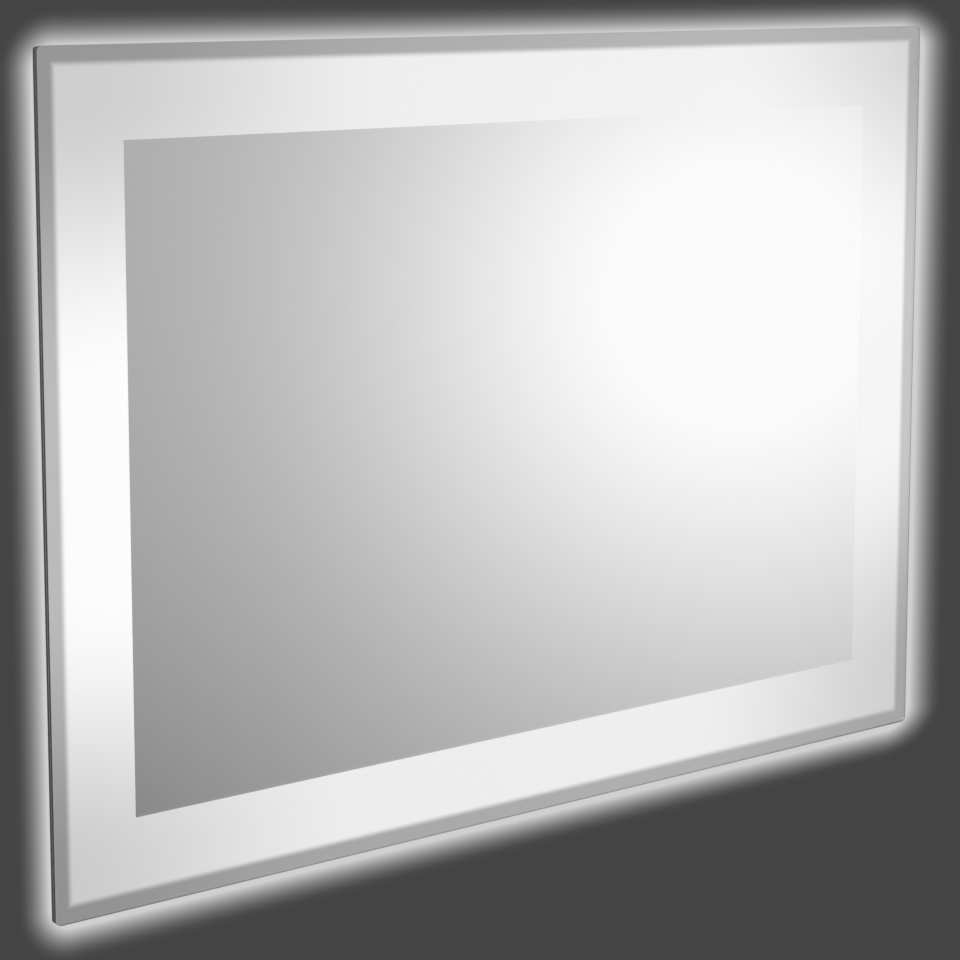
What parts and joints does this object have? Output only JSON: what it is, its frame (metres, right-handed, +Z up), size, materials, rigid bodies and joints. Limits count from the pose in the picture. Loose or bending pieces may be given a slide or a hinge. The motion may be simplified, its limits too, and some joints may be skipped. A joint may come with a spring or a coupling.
{
  "type": "lighted bathroom mirror",
  "caption": "Flat wall mirror with a frosted lit border, a slim dark frame edge, a halo light behind it, and a hook-on rail for the wall.",
  "frame": {"origin": "middle of the wall rail's screw line, on the wall plane", "axes": "+Z up, +X to the right as seen from the front, +Y into the wall; the pane faces -Y"},
  "size_m": [1.1, 0.035, 0.8],
  "materials": {
    "pane_glass": "polished",
    "silver": "polished",
    "opal_front": "satin",
    "opal_halo": "satin",
    "adhesive": "matte",
    "frame_alloy": "satin",
    "key_steel": "satin",
    "tray_sheet": "satin",
    "baffle_sheet": "satin",
    "rail_steel": "satin",
    "screw_steel": "satin",
    "rivet_alloy": "satin",
    "driver_plastic": "matte",
    "box_plastic": "matte",
    "terminal_plastic": "matte",
    "circuit_board": "satin",
    "strip_board": "satin",
    "led_phosphor": "gloss",
    "black_rubber": "matte",
    "lead_jacket": "satin",
    "clip_plastic": "matte",
    "foam": "matte"
  },
  "bodies": {
    "wall_side": {"wall_rail": "rail_steel"},
    "mirror": {"baffle_bottom": "baffle_sheet", "baffle_left": "baffle_sheet", "baffle_right": "baffle_sheet", "baffle_rivets": "rivet_alloy", "baffle_top": "baffle_sheet", "cable_grommet": "black_rubber", "corner_keys": "key_steel", "driver_board": "circuit_board", "driver_case": "driver_plastic", "driver_lid": "driver_plastic", "feed_grommet": "black_rubber", "foam_pads": "foam", "frame_bottom": "frame_alloy", "frame_left": "frame_alloy", "frame_right": "frame_alloy", "frame_top": "frame_alloy", "front_chips": "led_phosphor", "front_feed_lead": "lead_jacket", "front_link_leads": "lead_jacket", "front_strip_bottom": "strip_board", "front_strip_left": "strip_board", "front_strip_right": "strip_board", "front_strip_top": "strip_board", "glass_bond": "adhesive", "halo_chips": "led_phosphor", "halo_cover_bottom": "opal_halo", "halo_cover_left": "opal_halo", "halo_cover_right": "opal_halo", "halo_cover_top": "opal_halo", "halo_feed_lead": "lead_jacket", "halo_link_leads": "lead_jacket", "halo_strip_bottom": "strip_board", "halo_strip_left": "strip_board", "halo_strip_right": "strip_board", "halo_strip_top": "strip_board", "hanger_rail": "rail_steel", "hanger_rivets": "rivet_alloy", "housing_screws": "screw_steel", "lead_clips": "clip_plastic", "mains_link": "lead_jacket", "mirror_glass": "pane_glass", "opal_sheet": "opal_front", "rear_tray": "tray_sheet", "silver_layer": "silver", "terminal_block": "terminal_plastic", "terminal_box": "box_plastic", "terminal_box_lid": "box_plastic", "tray_screws": "screw_steel", "wall_bumpers": "black_rubber"}
  },
  "joints": [
    {"name": "mirror_lift", "type": "slide", "parent": "wall_side", "child": "mirror", "axis": [0, 0, 1], "range_m": [0, 0.012]}
  ]
}
